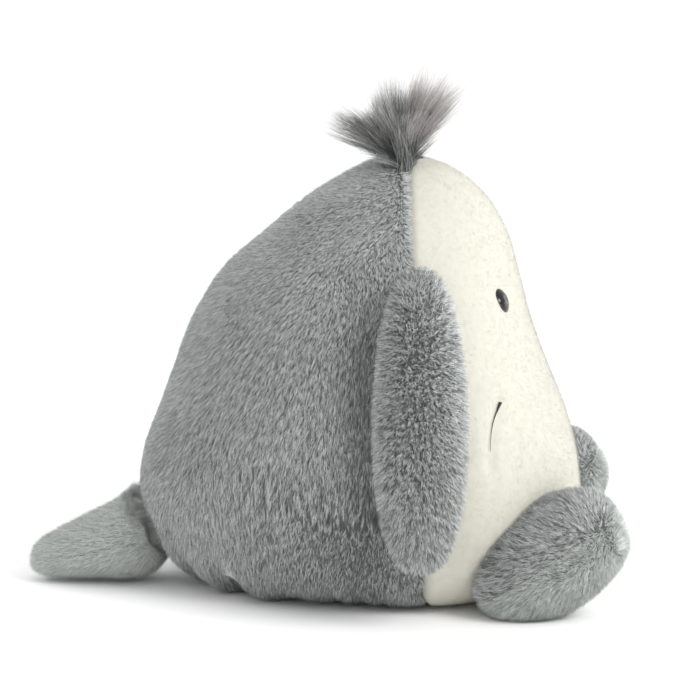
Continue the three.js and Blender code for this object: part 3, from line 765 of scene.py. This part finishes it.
# ---- Hair ------------------------------------------------------------------------------------------
def strands(name, lines, width, materials, tones, body, tip_materials, tipped):
    """Long fibres along given lines of points, as slim three-sided tubes that end in a point.

    lines has one row of points a fibre. The last part of each tipped fibre takes a tip material.
    """
    count, steps = lines.shape[:2]
    along = unit(np.gradient(lines, axis=1))
    first = unit(np.cross(along, np.array([0.3, 0.9, 0.31])))
    second = np.cross(along, first)
    taper = (1 - np.linspace(0, 1, steps)[:-1]) ** 0.6
    radius = width[:, None] * taper / 2
    turn = 2 * math.pi / 3
    rays = np.stack([first * math.cos(k * turn) + second * math.sin(k * turn) for k in range(3)], 2)
    rings = lines[:, :-1, None] + radius[..., None, None] * rays[:, :-1]
    per = 3 * (steps - 1) + 1
    vertices = np.concatenate([rings.reshape(count, -1, 3), lines[:, -1:]], 1)
    sides = []
    levels = []
    for step in range(steps - 1):
        for k in range(3):
            here = [3 * step + k, 3 * step + (k + 1) % 3]
            if step == steps - 2:
                sides.append([*here, per - 1])
                levels.append(step)
                continue
            above = [number + 3 for number in here]
            sides += [[here[0], here[1], above[1]], [here[0], above[1], above[0]]]
            levels += [step, step]
    faces = np.array(sides)[None] + per * np.arange(count)[:, None, None]
    indices = np.repeat(tones[:, None], len(sides), 1)
    at_tip = tipped[:, None] & (np.array(levels) >= steps - 3)[None]
    tips = np.broadcast_to(len(materials) + tones[:, None] % len(tip_materials), indices.shape)
    indices = np.where(at_tip, tips, indices)
    return piece(name, vertices.reshape(-1, 3), faces.reshape(-1, 3), [*materials, *tip_materials],
                 indices.ravel(), None, body)


# Each lock leans from upright, forward for more than 0, and opens by these angles, in degrees.
LOCKS = (
    dict(lean=-46, open_x=20, open_y=34, length=47 * MM, tufts=34, root=22 * MM, tips=0.15),
    dict(lean=-10, open_x=16, open_y=32, length=54 * MM, tufts=36, root=25 * MM, tips=0.2),
    dict(lean=25, open_x=18, open_y=32, length=57 * MM, tufts=40, root=29 * MM, tips=0.8),
)
FIBRES_IN_TUFT = 64
HAIR_REACH = 20 * MM  # how far the fan's roots go along the seam, to each side


def crown(y):
    """How high the seam runs over the head, this far to a side."""
    height = np.linspace(STATIONS[TOP - 3], STATIONS[TOP], 60)
    return np.interp(np.abs(y), smooth(SIDE, place_at(height))[::-1], height[::-1])


def make_hair():
    """A fan of long hair: each lock is a set of tufts, whose fibres draw together at their tips.

    Tufts far to a side are shorter, start closer to the seam and are painted darker, as shade.
    """
    rng = np.random.default_rng(91)
    share = np.linspace(0, 1, 6)[None, :, None]
    lines = []
    tipped = []
    depth = []
    for lock in LOCKS:
        tufts = lock["tufts"]
        across = rng.uniform(-1, 1, tufts)
        lean = np.radians(lock["lean"] + lock["open_x"] * rng.uniform(-1, 1, tufts))
        spread = np.radians(lock["open_y"] * (0.7 * across + 0.5 * rng.uniform(-1, 1, tufts)))
        heading = unit(np.stack([np.sin(lean), np.sin(spread), np.cos(lean) * np.cos(spread)], -1))
        reach = lock["length"] * rng.uniform(0.62, 1.0, tufts) * (1 - 0.5 * across**2)
        for k in range(tufts):
            count = FIBRES_IN_TUFT
            seam = seam_x(STATIONS[TOP])
            root_x = seam + (lock["root"] - seam) * (1 - abs(across[k]))
            root_x = root_x + rng.normal(0, 1.9, count) * MM
            root_y = HAIR_REACH * across[k] + rng.normal(0, 1.3, count) * MM
            root = np.stack([root_x, root_y, crown(root_y) - 3 * MM], -1)
            fan = unit(heading[k] + 0.14 * rng.normal(size=(count, 3)))
            length = reach[k] * rng.uniform(0.66, 1.06, count)
            start = unit(fan * np.array([0.6, 0.8, 1.0]) + np.array([0, 0, 0.2]))
            way = unit(start[:, None] * (1 - share) ** 1.5 + fan[:, None] * (0.25 + share))
            line = root[:, None] + length[:, None, None] * share * way
            aim = root.mean(0) + reach[k] * 1.02 * heading[k]
            line = line + 0.6 * share**1.8 * (aim - line[:, -1:]) * (length / reach[k])[:, None, None]
            stray = wave_vectors(line.reshape(-1, 3), 16 * MM, 95).reshape(line.shape)
            lines.append(line + 0.8 * MM * share * stray)
            tipped.append(rng.random(count) < lock["tips"])
            depth.append(np.full(count, across[k] ** 2))
    lines = np.concatenate(lines)
    width = rng.uniform(0.2, 0.34, len(lines)) * MM
    # depth paints the side tufts darker, as painted shade.
    tones = rng.random(len(lines)) + 0.45 * waves(lines[:, 3], 7 * MM, 96) - 0.3 * np.concatenate(depth)
    tones = np.clip((tones * 5).astype(int), 0, 4)
    made = strands("hair_fan", lines, width, MATERIALS["hair"], tones, "body",
                   MATERIALS["hair_tip"], np.concatenate(tipped))
    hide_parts("hair_tuft")


# ---- Where limbs are sewn on ----------------------------------------------------------------------
def make_arm_roots():
    """The gathered fur at the top of each flipper, which hides the stitches that hold it."""
    turn = np.linspace(0, 2 * math.pi, 33)[None]
    tilt = np.linspace(0.03, math.pi - 0.03, 17)[:, None]
    for side, sign in SIDES:
        middle = middle_of(f"{side}_arm_root_stitch") + np.array([0, -0.5 * sign, -6]) * MM
        rise = np.cos(tilt) + 0 * turn
        ray = np.stack([np.sin(tilt) * np.cos(turn), np.sin(tilt) * np.sin(turn), rise], -1)
        grid = middle + ray * np.array([8, 4, 3.5]) * MM
        made = skin(f"{side}_arm_root_skin", grid, ray, f"{side}_arm_root",
                    MATERIALS["grey_skin"], True)
        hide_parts(f"{side}_arm_root_stitch")
        rng = np.random.default_rng(81)
        roots, facing = scatter(grid, ray, ARM_ROOT_FIBRES, rng)
        heading = np.broadcast_to(-UP, roots.shape)
        pelt(f"{side}_arm_root_pelt", roots, facing, heading, f"{side}_arm_root",
             MATERIALS["limb"], rng, length=3.6 * MM, lean=0.6, width=LIMB_FIBRE, seed=82)


def make_tail_collar():
    """Longer pile on both sides of the tail's seam, which hides the gap between tail and body.

    With the tail fully lifted a narrow part of the gap still shows under its root.
    """
    along = np.linspace(0.02, 0.7, 220)[:, None]
    turn = np.linspace(0, 2 * math.pi, 240)[None]
    along, turn = np.broadcast_arrays(along, turn)
    tail = limb_point(tail_limb(), along, turn, LIMB_PILE)
    normals = grid_normals(tail, True)
    free = np.linalg.norm(clear_of_the_body(tail) - tail, axis=-1) < 0.05 * MM
    rng = np.random.default_rng(85)
    column = rng.integers(0, tail.shape[1], COLLAR_FIBRES)
    row = np.argmax(free, axis=0)[column] + rng.integers(3, 22, COLLAR_FIBRES)
    roots, facing = tail[row, column], normals[row, column]
    heading = np.broadcast_to(np.array([1.0, 0, 0]), roots.shape)
    pelt("tail_collar", roots, facing, heading, "tail", MATERIALS["pale"], rng,
         length=5 * MM + 2 * MM * np.clip(facing[:, 2], 0, 1), lean=0.85, width=LIMB_FIBRE,
         wild=0.22, clump=0.3, shade=-0.1, seed=86)

    ring = tail[np.argmax(body_share(tail) > 1, axis=0), np.arange(tail.shape[1])]
    middle = ring.mean(0)
    chosen = ring[rng.integers(0, len(ring), RUFF_FIBRES)]
    away = unit((chosen - middle) * np.array([0, 1, 1]))
    normal = np.broadcast_to(unit(np.array([-1.0, 0, -0.25])), chosen.shape)
    above, below = np.clip(away[:, 2], 0, 1), np.clip(-away[:, 2], 0, 1)
    shift = rng.uniform(-3, 2, len(chosen)) - 3 * below
    roots = chosen + shift[:, None] * MM * away - 3 * MM * normal
    pelt("tail_ruff", roots, normal, away, "body", MATERIALS["pale"], rng,
         length=(8 + 3 * above + 6 * below) * MM, lean=0.25 * (1 - below), width=LIMB_FIBRE,
         wild=0.22, clump=0.35, shade=-0.2, seed=87)


# ---- Stitches, base and the parts that stay as they are ------------------------------------------
def bars(name, lines, radii, material, body):
    """Short six-sided threads along given lines of points, each as thick as its radii say."""
    count, steps = lines.shape[:2]
    along = unit(np.gradient(lines, axis=1))
    first = unit(np.cross(along, np.array([0.31, 0.2, 0.93])))
    second = np.cross(along, first)
    turn = np.arange(THREAD_SIDES) * 2 * math.pi / THREAD_SIDES
    rays = first[:, :, None] * np.cos(turn)[:, None] + second[:, :, None] * np.sin(turn)[:, None]
    rings = lines[:, :, None] + radii[:, :, None, None] * rays
    tube = grid_faces(steps, THREAD_SIDES, wrap=True)
    faces = (tube[None] + steps * THREAD_SIDES * np.arange(count)[:, None, None]).reshape(-1, 4)
    return piece(name, rings.reshape(-1, 3), faces, [material], body=body)


def make_mouths():
    """Each mouth corner is a row of slanting satin stitches, wide at its top and narrow below."""
    for side, _ in SIDES:
        line = MOUTHS[side][:MOUTH_STITCHED]
        share = np.linspace(0, 1, MOUTH_STITCHES)
        place = share * (len(line) - 1)
        spot = np.stack([np.interp(place, np.arange(len(line)), axis) for axis in line.T], -1)
        place = place_at(spot[:, 2])
        along = unit(np.gradient(spot, axis=0))
        angle = np.arctan2(spot[:, 1], spot[:, 0] - seam_x(spot[:, 2]))
        normal = body_normal(place, angle)
        across = unit(np.cross(along, normal))
        half = (MOUTH_WIDTH / 2 - 0.3 * MM) * np.exp(-((share / 0.24) ** 2))
        half = half + 0.16 * MM * (1.3 - share)
        step = np.linspace(-1, 1, 7)
        lines = spot[:, None] + (half[:, None] * step)[..., None] * (across + 0.35 * along)[:, None]
        arch = 0.5 * MM * (1 - step**2) - 1.3 * MM
        lines = lines + arch[None, :, None] * normal[:, None]
        radii = 0.3 * MM * (1 - 0.45 * share)[:, None] * np.sqrt(np.clip(1.02 - step**2, 0, 1))
        made = bars(f"{side}_mouth_satin", lines, radii, MATERIALS["mouth_thread"], "body")
        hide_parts(f"{side}_mouth_stitch")


def oval(node, name, rise, up):
    """A round panel of cloth in a CAD node's place.

    rise is a function that gives its height from x, y, the share of the way out and the turn.
    """
    low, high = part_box(node)
    share = np.linspace(0.02, 1, 34)[:, None]
    turn = np.linspace(0, 2 * math.pi, 129)[None]
    x = (low[0] + high[0]) / 2 + (high[0] - low[0]) / 2 * share * np.cos(turn)
    y = (low[1] + high[1]) / 2 + (high[1] - low[1]) / 2 * share * np.sin(turn)
    grid = np.stack([x, y, rise(x, y, share, turn)], -1)
    normals = np.broadcast_to(np.array([0, 0, 1.0 if up else -1.0]), grid.shape)
    made = skin(name, grid, normals, "body", MATERIALS["base_cloth"], not up)
    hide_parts(node)


def make_ovals():
    """The panel under the toy, creased by its sewing, and the backing that holds the hair."""
    def base(x, y, share, turn):
        puckers = 0.5 * MM * (1 + np.sin(40 * turn + 2 * np.sin(7 * turn))) * share**8
        lumps = 0.25 * MM * (1 + waves(np.stack([x, y, 0 * x], -1), 22 * MM, 61))
        return 0.8 * MM + puckers + lumps + 1.2 * MM * share**12

    def backing(x, y, share, turn):
        return crown(y) - 2.4 * MM - 1.2 * MM * share**4

    oval("base_panel", "base_skin", base, False)
    oval("hair_strip", "hair_backing", backing, True)


def finish_frame():
    """The materials of the frame's parts that still show, or that lie inside."""
    finishes = dict(
        eye=MATERIALS["eye"], eye_washer=MATERIALS["washer"], filling=MATERIALS["filling"],
        pellet_pouch=MATERIALS["pouch"], seam_thread=MATERIALS["thread"],
        root_stitch=MATERIALS["thread"], face_seam_thread=MATERIALS["white_thread"],
    )
    for name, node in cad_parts.items():
        for ending, material in finishes.items():
            if name.endswith(ending):
                for holder in node.material_slots:
                    holder.material = material


make_limbs()
make_arm_roots()
make_tail_collar()
make_hair()
make_mouths()
make_ovals()
finish_frame()
